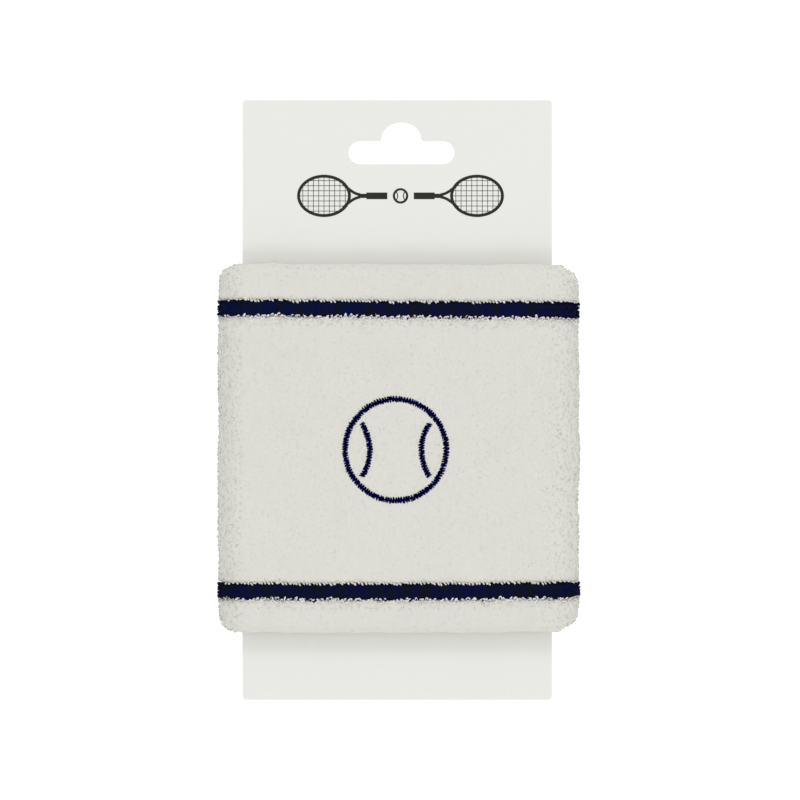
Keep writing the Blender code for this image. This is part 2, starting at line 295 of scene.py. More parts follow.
def tubes(lines, radii, across, sides):
    """Closed tubes round many lines at once: their points and quads. across is square to a line's plane."""
    count, steps = lines.shape[:2]
    tangent = np.gradient(lines, axis=1)
    tangent /= np.linalg.norm(tangent, axis=2, keepdims=True)
    first = across[:, None, :] - tangent * (across[:, None, :] * tangent).sum(2, keepdims=True)
    first /= np.linalg.norm(first, axis=2, keepdims=True)
    second = np.cross(tangent, first)
    angle = np.arange(sides) * TURN / sides
    spokes = (
        np.cos(angle)[None, None, :, None] * first[:, :, None, :]
        + np.sin(angle)[None, None, :, None] * second[:, :, None, :]
    )
    points = lines[:, :, None, :] + radii[:, :, None, None] * spokes
    tube = np.arange(count)[:, None, None] * steps * sides
    step = np.arange(steps - 1)[None, :, None] * sides
    side = np.arange(sides)[None, None, :]
    beside = (side + 1) % sides
    here, there = tube + step + side, tube + step + beside
    walls = np.stack([here, there, there + sides, here + sides], -1).reshape(-1, 4)
    caps = []
    for fan in fans(np.arange(sides)):
        caps += [tube[:, :, 0] + fan[::-1], tube[:, :, 0] + (steps - 1) * sides + fan]
    return points.reshape(-1, 3), np.concatenate([walls] + caps)


def joined(parts):
    """Several (points, faces, tones) as one."""
    points, faces, tones, total = [], [], [], 0
    for part_points, part_faces, part_tones in parts:
        points.append(part_points)
        faces.append(part_faces + total)
        tones.append(part_tones)
        total += len(part_points)
    return np.concatenate(points), np.concatenate(faces), np.concatenate(tones)


# ---------------------------------------------------------------- materials
class Finish:
    """A procedural material round one Principled shader."""

    def __init__(self, name, **settings):
        self.made = bpy.data.materials.new(name)
        self.made.use_nodes = True
        self.tree = self.made.node_tree
        self.shader = self.tree.nodes["Principled BSDF"]
        for socket, value in settings.items():
            self.shader.inputs[socket.replace("_", " ")].default_value = value
        self.place = self.node("ShaderNodeTexCoord").outputs["Object"]

    def node(self, kind, inputs=None, **settings):
        made = self.tree.nodes.new(kind)
        for name, value in settings.items():
            setattr(made, name, value)
        for name, value in (inputs or {}).items():
            if isinstance(value, bpy.types.NodeSocket):
                self.tree.links.new(value, made.inputs[name])
            else:
                made.inputs[name].default_value = value
        return made

    def noise(self, scale, detail=2.0, roughness=0.5, place=None, distortion=0.0):
        inputs = {"Vector": place or self.place, "Scale": scale, "Detail": detail}
        inputs |= {"Roughness": roughness, "Distortion": distortion}
        return self.node("ShaderNodeTexNoise", inputs).outputs["Fac"]

    def stretched(self, x, y, z):
        inputs = {"Vector": self.place, "Scale": (x, y, z)}
        return self.node("ShaderNodeMapping", inputs).outputs["Vector"]

    def between(self, value, low, high, new_low, new_high):
        inputs = {"Value": value, 1: low, 2: high, 3: new_low, 4: new_high}
        return self.node("ShaderNodeMapRange", inputs).outputs["Result"]

    def blend(self, factor, first, second):
        first, second = ((*value, 1.0) if isinstance(value, tuple) else value for value in (first, second))
        return self.node("ShaderNodeMix", {0: factor, 6: first, 7: second}, data_type="RGBA").outputs[2]

    def attribute(self, name):
        return self.node("ShaderNodeAttribute", attribute_name=name).outputs["Fac"]

    def compute(self, operation, first, second=0.0):
        return self.node("ShaderNodeMath", {0: first, 1: second}, operation=operation).outputs[0]

    def add(self, first, second):
        return self.compute("ADD", first, second)

    def times(self, first, second):
        return self.compute("MULTIPLY", first, second)

    def finish(self, colour, roughness, height, distance, strength=1.0):
        bump = self.node("ShaderNodeBump", {"Height": height, "Distance": distance, "Strength": strength})
        sources = {"Base Color": colour, "Roughness": roughness, "Normal": bump.outputs["Normal"]}
        for socket, source in sources.items():
            self.tree.links.new(source, self.shader.inputs[socket])
        return self.made


def terry(name, painted_highlight, pale, deep, sheen, specular, patchy, streaky, tint=(1.0, 1.0, 1.0)):
    """Cotton pile yarn: deep at tone 0, pale at 1, and at 2 a lighter colour that is a painted highlight,
    with soft patches and upright streaks.
    """
    made = Finish(
        name,
        Sheen_Weight=sheen,
        Sheen_Roughness=0.55,
        Sheen_Tint=(*tint, 1.0),
        Specular_IOR_Level=specular,
    )
    tone = made.attribute("tone")
    patches = made.between(made.noise(90, 3), 0.3, 0.7, -patchy, patchy)
    fibres = made.noise(5200, 3, 0.6, made.stretched(1.0, 1.0, 0.55))
    wales = made.noise(1100, 3, 0.6, made.stretched(1.0, 1.0, 0.3))
    streaks = made.between(wales, 0.3, 0.7, -streaky, streaky)
    mixed = made.add(made.add(tone, patches), streaks)
    colour = made.blend(made.between(mixed, 0.0, 1.0, 0.0, 1.0), deep, pale)
    colour = made.blend(made.between(mixed, 1.0, 2.0, 0.0, 1.0), colour, painted_highlight)
    colour = made.blend(made.times(fibres, 0.16), colour, deep)
    roughness = made.between(fibres, 0.3, 0.7, 0.84, 0.97)
    return made.finish(colour, roughness, fibres, 0.05 * MM, 0.6)


WHITE = terry(
    "cotton_terry_white",
    painted_highlight=(0.88, 0.875, 0.85),
    pale=(0.712, 0.705, 0.656),
    deep=(0.678, 0.670, 0.620),
    sheen=0.2,
    specular=0.12,
    patchy=0.2,
    streaky=0.2,
)
NAVY = terry(
    "cotton_terry_navy",
    painted_highlight=(0.0011, 0.0038, 0.052),
    pale=(0.0011, 0.0038, 0.052),
    deep=(0.0054, 0.0060, 0.0095),
    sheen=0.02,
    specular=0.03,
    patchy=0.2,
    streaky=0.6,
    tint=(0.3, 0.4, 0.9),
)


def knit_material():
    """Ground knit: rows of small stitches in low relief."""
    made = Finish("cotton_ground_knit", Sheen_Weight=0.15, Sheen_Roughness=0.5, Specular_IOR_Level=0.2)
    split = made.node("ShaderNodeSeparateXYZ", {"Vector": made.place})
    rows = made.compute("SINE", made.times(split.outputs["Z"], TURN / COURSE))
    wales = made.compute("SINE", made.times(split.outputs["X"], TURN / WALE))
    relief = made.times(rows, wales)
    fibres = made.noise(3000, 2)
    height = made.add(made.between(relief, -1.0, 1.0, 0.0, 1.0), made.times(fibres, 0.4))
    # The colour is darker where the stitch relief is low: painted shade in the hollows between stitches.
    colour = made.blend(made.between(height, 0.0, 1.4, 0.0, 1.0), (0.60, 0.59, 0.54), (0.78, 0.77, 0.71))
    return made.finish(colour, made.between(fibres, 0.3, 0.7, 0.85, 0.97), height, 0.12 * MM)


def board_material():
    """Uncoated off-white board: faint fibres and cloudiness, and its edges a little rubbed."""
    made = Finish("card_board_matt", Specular_IOR_Level=0.25)
    clouds = made.noise(45, 4, 0.55)
    fibres = made.noise(1400, 4, 0.65, made.stretched(1.0, 1.0, 0.35))
    colour = made.blend(clouds, (0.776, 0.777, 0.745), (0.791, 0.790, 0.763))
    colour = made.blend(made.between(fibres, 0.62, 0.75, 0.0, 0.25), colour, (0.755, 0.750, 0.715))
    split = made.node("ShaderNodeSeparateXYZ", {"Vector": made.place})
    worn = 0.0
    for axis, number in (("X", 0), ("Z", 2)):
        middle = (card_low[number] + card_high[number]) / 2
        half = (card_high[number] - card_low[number]) / 2
        away = made.compute("ABSOLUTE", made.add(split.outputs[axis], -middle))
        worn = made.compute("MAXIMUM", worn, made.between(away, half - 0.5 * MM, half, 0.0, 1.0))
    worn = made.times(worn, made.noise(420, 3))
    colour = made.blend(made.times(worn, 0.5), colour, (0.87, 0.87, 0.85))
    return made.finish(colour, made.between(fibres, 0.3, 0.7, 0.72, 0.86), fibres, 0.012 * MM, 0.5)


def ink_material():
    """Dull black ink, a little speckled where the board shows through."""
    made = Finish("print_ink", Specular_IOR_Level=0.3)
    speckle = made.noise(2600, 3, 0.6)
    paler = made.between(speckle, 0.35, 0.75, 0.0, 1.0)
    colour = made.blend(paler, (0.0088, 0.0088, 0.0078), (0.019, 0.018, 0.016))
    return made.finish(colour, made.between(speckle, 0.3, 0.7, 0.5, 0.7), speckle, 0.006 * MM, 0.5)


def thread_material(name, colour_low, colour_high, roughness, specular):
    """Twisted, slightly shiny sewing thread."""
    made = Finish(name, Specular_IOR_Level=specular, Specular_Tint=(*colour_high, 1.0))
    twist = made.noise(6500, 2, 0.5, made.stretched(1.0, 0.4, 1.0))
    tone = made.attribute("tone")
    colour = made.blend(made.add(made.times(tone, 0.7), made.times(twist, 0.3)), colour_low, colour_high)
    rough = made.between(twist, 0.3, 0.7, roughness - 0.08, roughness + 0.1)
    return made.finish(colour, rough, twist, 0.03 * MM, 0.6)


def felt_material():
    """Non-woven backing: fibres matted in all directions."""
    made = Finish("backing_felt_nonwoven", Specular_IOR_Level=0.2, Sheen_Weight=0.1)
    fibres = made.noise(2400, 5, 0.7, distortion=1.5)
    colour = made.blend(fibres, (0.70, 0.70, 0.68), (0.84, 0.84, 0.82))
    return made.finish(colour, made.between(fibres, 0.3, 0.7, 0.82, 0.96), fibres, 0.06 * MM)


def elastic_material():
    """Covered elastic: a thin wrapping yarn wound tightly on the core."""
    made = Finish("elastic_covered_yarn", Specular_IOR_Level=0.35)
    wrap = made.noise(5000, 2, 0.5, made.stretched(1.0, 0.3, 0.3))
    colour = made.blend(wrap, (0.66, 0.65, 0.61), (0.80, 0.79, 0.76))
    return made.finish(colour, made.between(wrap, 0.3, 0.7, 0.5, 0.72), wrap, 0.04 * MM)


def floor_material():
    """A pale floor that glows a little, so that as much light comes from below as from the room."""
    glow = (1.0, 1.0, 0.99, 1.0)
    made = Finish("studio_floor", Specular_IOR_Level=0.1, Emission_Color=glow, Emission_Strength=0.12)
    grain = made.noise(30, 3)
    colour = made.blend(grain, (0.78, 0.78, 0.78), (0.80, 0.80, 0.80))
    return made.finish(colour, made.between(grain, 0.3, 0.7, 0.9, 0.98), grain, 0.1 * MM, 0.2)


def wear(piece, material, slot, body, *nodes):
    """Gives a piece its material and body, and hides the CAD nodes that it stands for. The slot argument is
    not used.
    """
    piece.data.materials.clear()
    piece.data.materials.append(material)
    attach(piece, body)
    if nodes:
        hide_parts(*nodes)
    return piece


# ---------------------------------------------------------------- embroidered ball
BALL_X = (ball_low[0] + ball_high[0]) / 2
BALL_Z = (ball_low[2] + ball_high[2]) / 2
COLUMN_HALF = 0.625 * MM  # half the width of a satin-stitch column
BALL_RADIUS = (ball_high[0] - ball_low[0]) / 2 - COLUMN_HALF
ARC_RADIUS = 10.6 * MM
ARC_OFFSET = 16.4 * MM
ARC_REACH = BALL_RADIUS - 2 * COLUMN_HALF - 0.45 * MM  # how far out from the ball's centre an arc ends


def arc_half_angle():
    """Half the angle that an arc turns through, as far as its reach."""
    cosine = (ARC_OFFSET**2 + ARC_RADIUS**2 - ARC_REACH**2) / (2 * ARC_OFFSET * ARC_RADIUS)
    return math.acos(cosine)


# Each column: the centre's distance from the ball's centre, radius, first angle, last angle
COLUMNS = {
    "ring": (0.0, BALL_RADIUS, 0.0, TURN),
    "arc_left": (-ARC_OFFSET, ARC_RADIUS, -arc_half_angle(), arc_half_angle()),
    "arc_right": (ARC_OFFSET, ARC_RADIUS, math.pi - arc_half_angle(), math.pi + arc_half_angle()),
}


def on_arc(offset, radius, angle, y=0.0):
    """Points of an arc about a centre beside the ball's, with the directions out of it and along it."""
    out = np.stack([np.cos(angle), 0 * angle, np.sin(angle)], -1)
    tangent = np.stack([-np.sin(angle), 0 * angle, np.cos(angle)], -1)
    return np.array([BALL_X + offset, y, BALL_Z]) + radius * out, out, tangent


def closes(first, last):
    """Whether an arc between two angles is a full circle."""
    return last - first > TURN - 0.01


def from_columns(x, z):
    """Distance to the nearest stitched column's middle line and the direction away from it, in the face."""
    best = np.full(x.shape, 1.0)
    away_x, away_z = np.zeros(x.shape), np.zeros(x.shape)
    for offset, radius, first, last in COLUMNS.values():
        dx, dz = x - BALL_X - offset, z - BALL_Z
        turned = np.arctan2(dz, dx) - first
        if closes(first, last):
            angle = np.mod(turned, TURN)
        else:
            angle = np.clip(np.mod(turned + math.pi / 2, TURN) - math.pi / 2, 0, last - first)
        px, pz = radius * np.cos(first + angle), radius * np.sin(first + angle)
        gap_x, gap_z = dx - px, dz - pz
        gap = np.hypot(gap_x, gap_z)
        closer = gap < best
        best = np.where(closer, gap, best)
        away_x = np.where(closer, gap_x / (gap + 1e-9), away_x)
        away_z = np.where(closer, gap_z / (gap + 1e-9), away_z)
    return best, away_x, away_z


# ---------------------------------------------------------------- pile
NAVY_OVER, NAVY_UNDER = 0.25 * MM, 0.28 * MM  # how far the stripe's foot shows above and below its loops
OVER, UNDER = HALF_STRIPE + NAVY_OVER, HALF_STRIPE + NAVY_UNDER
SECTIONS = {
    "upper_end": (-QUARTER - INNER_LEG, UPPER_STRIPE - OVER, WHITE, "pile_upper_end"),
    "stripe_upper": (UPPER_STRIPE - OVER, UPPER_STRIPE + UNDER, NAVY, "pile_stripe_upper"),
    "centre": (UPPER_STRIPE + UNDER, LOWER_STRIPE - OVER, WHITE, "pile_centre"),
    "stripe_lower": (LOWER_STRIPE - OVER, LOWER_STRIPE + UNDER, NAVY, "pile_stripe_lower"),
    "lower_end": (LOWER_STRIPE + UNDER, LOWER_CREST + QUARTER + INNER_LEG, WHITE, "pile_lower_end"),
}
PIECES = {"upper_end": 2, "stripe_upper": 1, "centre": 6, "stripe_lower": 1, "lower_end": 2}
STRETCHES = 6  # parts of the ring that the loops are cut into, so that no piece has too many faces
SLOTS = {WHITE: "white_terry", NAVY: "navy_terry"}
WALES = round(RING / WALE)
MAT_COLUMNS = 2 * WALES


def make_mat(name, first, last, material, node):
    """The closed, tangled foot of the pile in one section: a lumpy ring between the ground and the loops.

    It sinks beside a stripe, under the stitches and where it faces the card.
    """
    rows = max(4, round((last - first) / (0.5 * COURSE)))
    down = first + (last - first) * (np.arange(rows + 1) / rows)
    around = np.arange(MAT_COLUMNS) * RING / MAT_COLUMNS
    around, down = np.meshgrid(around, down)
    point, normal, _, _ = band_frame(around, down)
    rng = np.random.default_rng(len(name) * 7 + rows)
    lumps = 0.018 * MM * rng.standard_normal(around.shape)
    wales = 0.03 * MM * np.cos(TURN * around / (RING / WALES))
    over, under = beyond_stripe(down)
    opened = 0.40 * MM * near(over, 0.1 * MM, 0.85 * MM) + 0.38 * MM * near(under, 0.45 * MM, 0.85 * MM)
    mat = PILE - relief(around, down) - opened
    gap, _, _ = from_columns(point[..., 0], point[..., 2])
    pressed = np.where(point[..., 1] < 0, 0.18 * MM * near(gap, 0.0, 1.1 * MM), 0.0)
    ends = np.clip(np.minimum(down - first, last - down) / (0.25 * MM), 0, 1) ** 0.5
    thick = np.maximum(mat + lumps + wales - pressed - MAT_FOOT, 0.05 * MM)
    height = MAT_FOOT + thick * (0.45 + 0.55 * ends)
    facing_card = profile(down)[0] < INNER + 0.2 * MM
    height = np.where(facing_card, np.minimum(height, INNER_HEIGHT - 0.05 * MM), height)
    outer = point + normal * height[..., None]
    inner = (point + normal * MAT_FOOT)[fewer(rows, 3)]
    points = np.concatenate([outer, inner]).reshape(-1, 3)
    faces = grid_faces(len(outer) + len(inner), MAT_COLUMNS)
    piece = new_mesh(f"pile_mat_{name}", points, faces, np.full(len(points), 0.45))
    return wear(piece, material, SLOTS[material], "band", node)


EXTRA_ROW = 0.4 * MM  # how far beyond a stripe's neighbouring course its loose extra row of loops lies
LOOP_STEPS = 7
LOOP_SIDES = 4
LOOP_FOOT = 0.35 * MM  # height over the ground at which a loop starts


def loop_places():
    """Where each loop grows, along the ring and down the section, its course, and whether it's an extra.

    Courses are numbered from the upper stripe's middle.
    """
    first = math.ceil((-QUARTER - INNER_PILE_REACH - UPPER_STRIPE) / COURSE)
    last = math.floor((LOWER_CREST + QUARTER + INNER_PILE_REACH - UPPER_STRIPE) / COURSE)
    numbers = np.arange(first, last)
    around, down = np.meshgrid(np.arange(WALES) * RING / WALES, UPPER_STRIPE + (numbers + 0.5) * COURSE)
    around, down, course = around.ravel(), down.ravel(), np.repeat(numbers, WALES)
    knitted = len(course)
    half = STRIPE_COURSES // 2
    above, below = -half - 1, half  # a stripe's neighbouring courses
    edges = {above: -1, below: 1, COURSES_BETWEEN_STRIPES + above: -1, COURSES_BETWEEN_STRIPES + below: 1}
    for edge, way in edges.items():
        row = np.flatnonzero(course == edge)
        around = np.concatenate([around, around[row] + WALE / 2])
        down = np.concatenate([down, down[row] + way * EXTRA_ROW])
        course = np.concatenate([course, course[row]])
    return around, down, course, np.arange(len(course)) >= knitted


def arches(place, normal, along, below, size, lean, turn, twist):
    """Middle lines of the loops: each rises from its foot, arches over and leans."""
    height, width = size
    phase = np.linspace(0, math.pi, LOOP_STEPS)[None, :]
    tall = height[:, None] - YARN - LOOP_FOOT
    rise = LOOP_FOOT + tall * np.sin(phase) ** 0.75
    share = np.clip((rise - LOOP_FOOT) / tall, 0, 1) ** 1.4  # of the lean, which grows towards the tip
    spread = -width[:, None] / 2 * np.cos(phase) * (0.6 + 0.55 * np.sin(phase))
    twisted = twist[:, None] * np.sin(2 * phase)
    cos, sin = np.cos(turn)[:, None], np.sin(turn)[:, None]
    move_along = spread * cos - twisted * sin + lean[0][:, None] * share
    move_down = spread * sin + twisted * cos + lean[1][:, None] * share
    return (
        place[:, None, :]
        + normal[:, None, :] * rise[..., None]
        + along[:, None, :] * move_along[..., None]
        + below[:, None, :] * move_down[..., None]
    )


def stripe_rows(course):
    """Which loops are in the rows in and beside a stripe, and which are in each section."""
    row = course + STRIPE_COURSES // 2  # counted from the upper stripe's first
    lower_row = row - COURSES_BETWEEN_STRIPES

    def either(number):
        return (row == number) | (lower_row == number)

    in_upper = (row >= 0) & (row < STRIPE_COURSES)
    in_lower = (lower_row >= 0) & (lower_row < STRIPE_COURSES)
    members = {
        "upper_end": row < 0,
        "stripe_upper": in_upper,
        "centre": (row >= STRIPE_COURSES) & (lower_row < 0),
        "stripe_lower": in_lower,
        "lower_end": lower_row >= STRIPE_COURSES,
    }
    beside = either(-1), either(STRIPE_COURSES), either(STRIPE_COURSES + 1)
    return beside, (either(0), either(STRIPE_COURSES - 1), in_upper | in_lower), members


def make_loops():
    """All terry loops, one arched yarn each, as pieces by section and by stretch of the ring."""
    rng = np.random.default_rng(2026)
    around, down, course, extra = loop_places()
    count = len(around)
    kinds = ("around", "down", "height", "width", "along", "below", "yarn", "twist", "tone")
    draw = {kind: rng.standard_normal(count) for kind in kinds}
    turn = rng.uniform(0, TURN, count)
    chance = rng.uniform(0, 1, count)

    (before, after, behind), (navy_first, navy_last, navy), members = stripe_rows(course)
    radius = profile(down)[0]
    inside = radius < FOLD_RADIUS
    side = sideways(around)
    level = 1 - 0.8 * side

    # The last white course over a stripe falls across it, and the first one under it curls up, with gaps.
    # Each width, lean and height is a mean and a spread, in millimetres.
    next_to = [before, after]
    wide, slant = draw["width"], draw["along"]
    width = MM * np.select(next_to, [0.24 + 0.04 * wide, 0.58 + 0.13 * wide], 0.62 + 0.08 * wide)
    lean_along = MM * np.select(next_to, [0.50 + 0.09 * slant, 0.18 + 0.26 * slant], 0.08 + 0.24 * slant)
    lean_down = MM * np.select(
        [before, after, behind, navy_first, navy_last],
        [
            np.where(extra, 0.42, 0.62) * level + 0.12 * draw["below"],
            np.where(extra, -0.45, -0.62) * level + 0.14 * draw["below"],
            (-0.32 + 0.20 * draw["below"]) * level,
            -0.10 + 0.10 * draw["below"],
            (0.45 + 0.18 * draw["below"]) * level,
        ],
        0.06 + 0.22 * draw["below"],
    )
    plain = 0.01 * MM + 0.22 * (relief(around, down) - 0.05 * MM) * draw["height"]
    height = PILE + np.select(
        [before, after, navy_first | navy_last, navy],
        [
            (0.06 - 0.04 * extra + 0.03 * draw["height"]) * MM,
            (0.04 + 0.02 * extra + 0.05 * draw["height"]) * MM,
            plain + (0.02 + 0.20 * side - 0.10 * level) * MM,
            plain + (0.02 + 0.20 * side) * MM,
        ],
        plain,
    )
    height = np.where(inside, np.minimum(height, INNER_HEIGHT), height)
    turn = np.select(next_to, [0.35 * draw["twist"], 0.8 * draw["twist"]], turn)
    around = around + 0.11 * MM * draw["around"]
    shifted = np.select(next_to, [-0.22 + 0 * level, np.where(extra, 0.35, 0.25) * level], 0.0)
    down = down + (0.13 * draw["down"] + shifted) * MM
    place, normal, along, below = band_frame(around, down)

    # No loops under the embroidery, and those next to it are pushed outwards.
    front = (place[:, 1] < 0) & ~inside
    gap, away_x, away_z = from_columns(place[:, 0], place[:, 2])
    stitched = front & (gap < COLUMN_HALF + 0.20 * MM)
    beside = front & ~stitched & (gap < COLUMN_HALF + 0.8 * MM)
    lean_along = np.where(beside, 0.12 * MM * away_x + 0.5 * lean_along, lean_along)
    lean_down = np.where(beside, -0.12 * MM * away_z + 0.5 * lean_down, lean_down)
    height = np.where(beside, height + 0.05 * MM, height)
    crowded = chance > np.clip(radius / ROOT, 0.3, 1) + 0.05
    keep = ~stitched & ~(inside & crowded)

    lean, twist = (lean_along, lean_down), 0.10 * MM * draw["twist"]
    lines = arches(place, normal, along, below, (height, width), lean, turn, twist)
    across = -along * np.sin(turn)[:, None] + below * np.cos(turn)[:, None]
    yarn = YARN + (0.012 * draw["yarn"] - 0.03 * after) * MM
    thickness = yarn[:, None] * (0.92 + 0.12 * np.sin(np.linspace(0, math.pi, LOOP_STEPS)))
    # Loops beside a stripe get a lighter colour, less round the sides: a painted highlight for the light
    # that they catch.
    painted_lift = np.select([after, behind, before], [1.4, 0.8, 0.7], 0.0) * level
    tone = np.clip(0.5 + 0.2 * draw["tone"], 0, 1) + painted_lift

    stretch = np.floor(np.mod(around, RING) / RING * STRETCHES).astype(int)
    made = []
    for name, (_, _, material, node) in SECTIONS.items():
        for part in range(PIECES[name]):
            chosen = keep & members[name] & (stretch * PIECES[name] // STRETCHES == part)
            points, faces = tubes(lines[chosen], thickness[chosen], across[chosen], LOOP_SIDES)
            tones = np.repeat(tone[chosen], LOOP_STEPS * LOOP_SIDES)
            piece = new_mesh(f"pile_loops_{name}_{part + 1}", points, faces, tones)
            made.append(wear(piece, material, SLOTS[material], "band", node))
    return made


# ---------------------------------------------------------------- ground, seam and embroidery
def make_ground():
    """The knitted ground: one tube of cloth, folded at both ends, that the pile grows from."""
    first, last = -QUARTER - INNER_LEG, LOWER_CREST + QUARTER + INNER_LEG
    rows = 260
    down, around = first + (last - first) * np.arange(rows + 1) / rows, np.arange(WALES) * RING / WALES
    around, down = np.meshgrid(around, down)
    point, normal, _, _ = band_frame(around, down)
    outer = point - normal * 0.03 * MM
    inner = (outer - normal * (GROUND - 0.06 * MM))[fewer(rows, 2)]
    points = np.concatenate([outer, inner]).reshape(-1, 3)
    piece = new_mesh("ground_cloth", points, grid_faces(len(outer) + len(inner), WALES))
    wear(piece, knit_material(), "ground_knit", "band", "ground_knit")
    return piece, last - first


def make_seam(material):
    """The linking seam: overlock stitches slanted round the two raw ends, over a low ridge."""
    count, steps, sides, thread = 150, 11, 6, 0.14 * MM
    around = np.arange(count) * RING / count
    foot, direction = ring(around)
    middle, half = INNER + 0.03 * MM, (seam_high[2] - seam_low[2]) / 2 - 0.15 * MM
    phase = np.linspace(0, TURN, steps)[None, :]
    reach = middle - 0.42 * MM * np.cos(phase)
    height = SEAM_Z + half * np.sin(phase)
    slant = 0.55 * RING / count * np.sin(phase) + RING / count * (phase / TURN - 0.5) * 0.6
    tangent = np.stack([-direction[:, 1], direction[:, 0]], -1)
    x = BAND_X + foot[:, None] + reach * direction[:, None, 0] + slant * tangent[:, None, 0]
    y = reach * direction[:, None, 1] + slant * tangent[:, None, 1]
    lines = np.stack([x, y, height + 0 * x], -1)
    across = np.stack([tangent[:, 0], tangent[:, 1], 0 * foot], -1)
    points, faces = tubes(lines, np.full(lines.shape[:2], thread), across, sides)
    tones = np.random.default_rng(5).uniform(0.3, 0.8, count)
    stitches = (points, faces, np.repeat(tones, steps * sides))
    columns, section = 240, 10
    around = np.arange(columns) * RING / columns
    foot, direction = ring(around)
    turn = (np.arange(section) * TURN / section)[:, None]
    reach = middle + 0.28 * MM * np.cos(turn)
    ridge = np.stack(
        [
            BAND_X + foot[None] + reach * direction[None, :, 0],
            reach * direction[None, :, 1],
            SEAM_Z + (half - 0.15 * MM) * np.sin(turn) + 0 * foot[None],
        ],
        -1,
    )
    core = (ridge.reshape(-1, 3), grid_faces(section, columns)[:, ::-1], np.full(section * columns, 0.4))
    piece = new_mesh("seam_overlock", *joined([stitches, core]))
    return wear(piece, material, "seam_thread", "band", "linking_seam")


STITCH_PITCH = 0.30 * MM
STITCH_RADIUS = 0.15 * MM


def swell(x, z):
    """How far the front face stands out at a place of the band, beyond plan."""
    return puff(x - BAND_X + STRAIGHT, down_at(z))


def make_column(name, material, seed):
    """One satin-stitch column on its padding, across the line that it draws."""
    offset, radius, first, last = COLUMNS[name]
    closed = closes(first, last)
    length = radius * (last - first)
    count = round(length / STITCH_PITCH)
    rng = np.random.default_rng(seed)
    share = (np.arange(count) + 0.5 + 0.12 * rng.standard_normal(count)) / count
    angle = first + (last - first) * share
    middle, out, tangent = on_arc(offset, radius, angle)
    steps, sides = 9, 6
    phase = np.linspace(-1, 1, steps)[None, :]

    def reach():
        return COLUMN_HALF * (1.12 + 0.15 * rng.standard_normal(count).clip(-2, 2))[:, None]

    across_by = np.where(phase < 0, reach(), reach()) * np.sin(phase * math.pi / 2)
    top = TIP - STITCH_RADIUS + 0.04 * MM + 0.02 * MM * rng.standard_normal(count)[:, None]
    depth = top + swell(middle[:, 0], middle[:, 2])[:, None] - 0.42 * MM * np.abs(phase) ** 3.5
    zigzag = np.where(np.arange(count) % 2 == 0, 0.30 * MM, 0.06 * MM)[:, None]
    slant = zigzag * phase + 0.03 * MM * rng.standard_normal(count)[:, None]
    lines = middle[:, None] + out[:, None] * across_by[..., None] + tangent[:, None] * slant[..., None]
    lines[..., 1] -= depth
    points, faces = tubes(lines, np.full(lines.shape[:2], STITCH_RADIUS), tangent, sides)
    tones = np.clip(0.5 + 0.22 * rng.standard_normal(count), 0, 1)
    stitches = (points, faces, np.repeat(tones, steps * sides))

    stations = max(24, round(length / (0.6 * MM)))
    around = np.arange(stations if closed else stations + 1) / stations
    angle = first + (last - first) * (around if closed else np.clip(around, 0.004, 0.996))
    middle, out, _ = on_arc(offset, radius, angle)
    turn = np.arange(12) * TURN / 12
    ring_across = 0.46 * MM * np.cos(turn)
    ring_depth = TIP - 0.42 * MM + 0.22 * MM * np.sin(turn)
    pad = middle[None] + out[None] * ring_across[:, None, None]
    pad[..., 1] -= ring_depth[:, None] + swell(middle[:, 0], middle[:, 2])[None, :]
    faces = grid_faces(12, len(angle), open_columns=not closed)
    if not closed:
        ends = fans(np.arange(12) * len(angle))
        faces = np.concatenate([faces, ends, ends[:, ::-1] + len(angle) - 1])
    padding = (pad.reshape(-1, 3), faces, np.full(12 * len(angle), 0.3))
    piece = new_mesh(f"satin_stitch_{name}", *joined([stitches, padding]))
    return wear(piece, material, "embroidery_thread", "band", f"embroidery_{name}")


def make_backing(material):
    """The felt patch, cut by hand and not quite flat, with the bobbin thread's rows on its back."""
    radius = (felt_high[0] - felt_low[0]) / 2
    x, z = (felt_low[0] + felt_high[0]) / 2, (felt_low[2] + felt_high[2]) / 2
    front, back = felt_low[1], felt_high[1]
    rings, spokes = 26, 96
    share = np.arange(1, rings + 1)[:, None] / rings
    angle = np.arange(spokes)[None, :] * TURN / spokes
    edge = radius * (1 + 0.006 * np.sin(5 * angle + 1) + 0.004 * np.sin(11 * angle))
    px, pz = x + share * edge * np.cos(angle), z + share * edge * np.sin(angle)
    wave = 0.05 * MM * np.sin(px / MM * 0.9) * np.cos(pz / MM * 0.8)
    gap, _, _ = from_columns(px, pz)
    dent = 0.06 * MM * near(gap, 0.0, 0.8 * MM)
    face = np.stack([px, front + wave + dent, pz], -1)
    rear = np.stack([px, back + wave, pz], -1)
    rear[-1, :, 1] = face[-1, :, 1] + 0.08 * MM
    points = np.concatenate([face, rear[::-1]]).reshape(-1, 3)
    rows = 2 * rings
    faces = grid_faces(rows, spokes, open_rows=True)
    ends = fans(np.arange(spokes))
    faces = np.concatenate([faces, ends[:, ::-1], ends + (rows - 1) * spokes])
    parts = [(points, faces, np.full(len(points), 0.5))]
    for offset, column_radius, first, last in COLUMNS.values():
        count = round(column_radius * (last - first) / (0.5 * MM))
        angle = first + (last - first) * (np.arange(count) + 0.5) / count
        middle, out, tangent = on_arc(offset, column_radius, angle, back + 0.03 * MM)
        phase = np.linspace(-1, 1, 5)[None, :]
        sideways_by, along_by = (0.4 * MM * phase)[..., None], (0.2 * MM * phase)[..., None]
        lines = middle[:, None] + out[:, None] * sideways_by + tangent[:, None] * along_by
        points, faces = tubes(lines, np.full(lines.shape[:2], 0.07 * MM), tangent, 6)
        parts.append((points, faces, np.full(len(points), 0.9)))
    piece = new_mesh("felt_backing", *joined(parts))
    return wear(piece, material, "backing_felt", "band", "embroidery_backing"), radius


# ---------------------------------------------------------------- print on the card
PRINT_X = BAND_X + 0.45 * MM
PRINT_Z = -16.6 * MM
INK = 0.03 * MM


